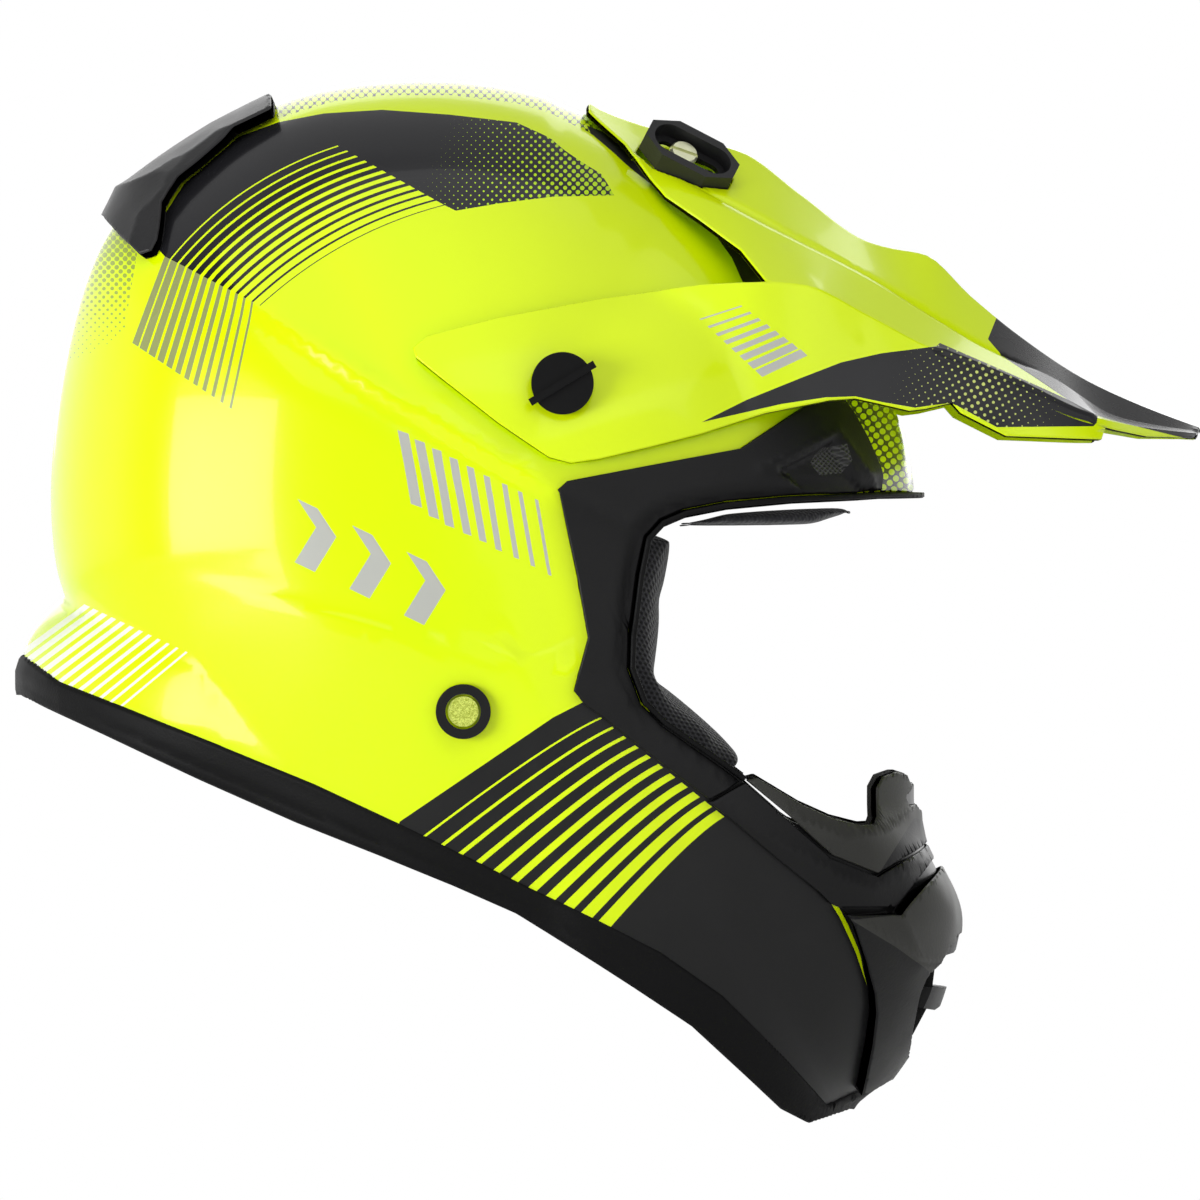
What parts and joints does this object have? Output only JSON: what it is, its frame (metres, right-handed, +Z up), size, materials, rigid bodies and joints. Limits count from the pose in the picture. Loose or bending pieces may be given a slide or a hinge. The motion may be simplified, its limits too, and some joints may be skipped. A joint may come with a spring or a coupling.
{
  "type": "motocross helmet",
  "caption": "Full-face off-road helmet with a tilting peaked visor, open eye port, vented chin bar, padded lining and a chin strap closed by paired rings.",
  "frame": {"origin": "centre of the head cavity at brow height, on the helmet's centre plane", "axes": "+X forward out of the eye port, +Y to the wearer's left, +Z up, helmet upright as worn"},
  "size_m": [0.4196, 0.2584, 0.3633],
  "materials": {
    "shell_yellow": "high-gloss fluorescent yellow clear-coated shell",
    "visor_yellow": "gloss fluorescent yellow moulded visor",
    "trim_black": "matte black moulded trim",
    "rubber_black": "soft black rubber edge trim",
    "eps_black": "dark expanded foam",
    "fabric_black": "black brushed and mesh fabric over foam",
    "webbing_black": "woven black webbing",
    "mesh_black": "black woven screen",
    "knob_grey": "dark grey moulded plastic",
    "screw_bright": "bright zinc-plated steel",
    "steel": "brushed stainless steel"
  },
  "bodies": {
    "helmet": {"brow_pad": "fabric_black", "cheek_pad_left": "fabric_black", "cheek_pad_right": "fabric_black", "chin_band": "trim_black", "chin_bar_foam": "eps_black", "chin_strap_left": "webbing_black", "chin_strap_right": "webbing_black", "comfort_liner": "fabric_black", "eyeport_gasket": "rubber_black", "eyeport_trim_left": "trim_black", "eyeport_trim_right": "trim_black", "impact_liner": "eps_black", "mouth_vent_frame": "trim_black", "mouth_vent_grille": "trim_black", "mouth_vent_mesh": "mesh_black", "neck_roll": "fabric_black", "nose_guard": "trim_black", "outer_shell": "shell_yellow", "rear_spoiler": "trim_black", "rim_trim": "rubber_black", "strap_anchor_rivets": "steel", "strap_anchor_washer_left": "trim_black", "strap_anchor_washer_right": "trim_black", "threaded_inserts": "steel", "visor_spacers": "rubber_black"},
    "visor": {"visor": "visor_yellow", "visor_slot_bezels": "trim_black"},
    "knob_right": {"visor_knob_right": "knob_grey"},
    "knob_left": {"visor_knob_left": "knob_grey"},
    "top_screw_right": {"visor_top_screw_right": "screw_bright"},
    "top_screw_left": {"visor_top_screw_left": "screw_bright"},
    "ring_inner": {"d_ring_inner": "steel"},
    "ring_outer": {"d_ring_outer": "steel"}
  },
  "joints": [
    {"name": "visor_tilt", "type": "hinge", "parent": "helmet", "child": "visor", "pos_m": [0.028, 0, 0.0444], "axis": [0, -1, 0], "range_deg": [-3, 2]},
    {"name": "visor_knob_right_turn", "type": "hinge", "parent": "helmet", "child": "knob_right", "pos_m": [0.028, -0.12, 0.0444], "axis": [0, -1, 0], "continuous": true},
    {"name": "visor_knob_left_turn", "type": "hinge", "parent": "helmet", "child": "knob_left", "pos_m": [0.028, 0.12, 0.0444], "axis": [0, 1, 0], "continuous": true},
    {"name": "visor_top_screw_right_turn", "type": "hinge", "parent": "helmet", "child": "top_screw_right", "pos_m": [0.0696, -0.047, 0.1242], "axis": [0.3269, -0.7071, 0.627], "continuous": true},
    {"name": "visor_top_screw_left_turn", "type": "hinge", "parent": "helmet", "child": "top_screw_left", "pos_m": [0.0696, 0.047, 0.1242], "axis": [0.3269, 0.7071, 0.627], "continuous": true},
    {"name": "d_ring_inner_swing", "type": "hinge", "parent": "helmet", "child": "ring_inner", "pos_m": [0.0368, -0.03675, -0.1327], "axis": [0.8862, 0, 0.4633], "range_deg": [-2, 2]},
    {"name": "d_ring_outer_swing", "type": "hinge", "parent": "helmet", "child": "ring_outer", "pos_m": [0.0368, -0.04085, -0.1327], "axis": [0.8862, 0, 0.4633], "range_deg": [-2, 2]}
  ]
}
